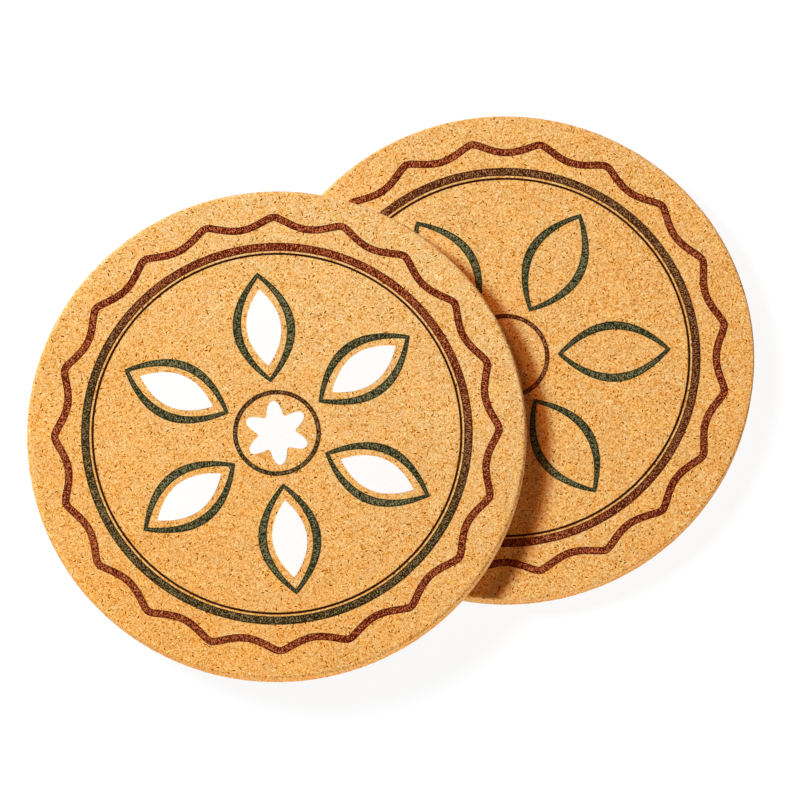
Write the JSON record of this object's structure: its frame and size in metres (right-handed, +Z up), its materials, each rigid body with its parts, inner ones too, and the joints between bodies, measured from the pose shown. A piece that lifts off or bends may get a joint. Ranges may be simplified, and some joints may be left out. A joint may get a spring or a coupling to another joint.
{
  "type": "cork coaster set",
  "caption": "Round printed cork coasters with rounded rims, lying loosely stacked and offset, each giving a flat seat for a cup or glass.",
  "frame": {"origin": "centre of the lower coaster's underside, on the table", "axes": "+Z up out of the table; -X from the lower coaster's centre towards the upper coaster's centre"},
  "size_m": [0.1489, 0.1, 0.0106],
  "materials": {
    "cork": "fine pressed cork granules, sanded, honey tan with dark specks",
    "red_brown_ink": "matt red-brown print on cork",
    "brown_ink": "matt print grading from red-brown to dark green",
    "dark_ink": "matt dark brown print",
    "green_ink": "matt dark green print",
    "white_ink": "opaque white print"
  },
  "bodies": {
    "lower_coaster": {"lower_cork_disc": "cork", "lower_scalloped_border": "red_brown_ink", "lower_thick_keyline": "brown_ink", "lower_thin_keyline": "dark_ink", "lower_hub_ring": "brown_ink", "lower_petal_1": "green_ink", "lower_petal_2": "green_ink", "lower_petal_3": "green_ink", "lower_petal_4": "green_ink", "lower_petal_5": "green_ink", "lower_petal_6": "green_ink"},
    "upper_coaster": {"upper_cork_disc": "cork", "upper_scalloped_border": "red_brown_ink", "upper_thick_keyline": "brown_ink", "upper_thin_keyline": "dark_ink", "upper_hub_ring": "brown_ink", "upper_petal_1": "green_ink", "upper_petal_2": "green_ink", "upper_petal_3": "green_ink", "upper_petal_4": "green_ink", "upper_petal_5": "green_ink", "upper_petal_6": "green_ink", "upper_white_leaf_1": "white_ink", "upper_white_leaf_2": "white_ink", "upper_white_leaf_3": "white_ink", "upper_white_leaf_4": "white_ink", "upper_white_leaf_5": "white_ink", "upper_white_leaf_6": "white_ink", "upper_white_flower": "white_ink"}
  },
  "joints": [
    {"name": "upper_lift", "type": "slide", "parent": "lower_coaster", "child": "upper_coaster", "axis": [0, 0, 1], "range_m": [0, 0.06]}
  ]
}
